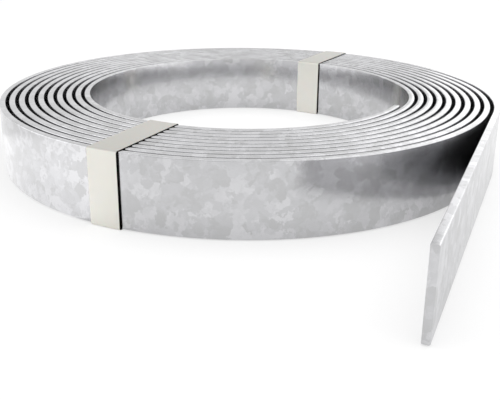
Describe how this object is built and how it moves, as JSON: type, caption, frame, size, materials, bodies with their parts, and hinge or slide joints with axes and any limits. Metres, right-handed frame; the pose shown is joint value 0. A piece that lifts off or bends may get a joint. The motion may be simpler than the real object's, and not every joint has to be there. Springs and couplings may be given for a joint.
{
  "type": "steel strip coil",
  "caption": "Flat steel strip wound on its face into an open coil that lies on its edges, with a straight free end and flat straps round the turns.",
  "frame": {"origin": "on the axis of the bore, half-way up the strip", "axes": "+Z along the coil's axis, up as it lies on the floor; -Y towards the side that the straight free end runs out on"},
  "size_m": [0.3155, 0.4004, 0.041],
  "materials": {
    "galvanised_steel": "hot-dip galvanised, soft spangle",
    "strapping": "smooth polypropylene band"
  },
  "bodies": {
    "root": {"strip_coil": "galvanised_steel", "strap_front": "strapping", "strap_rear": "strapping"}
  },
  "joints": []
}
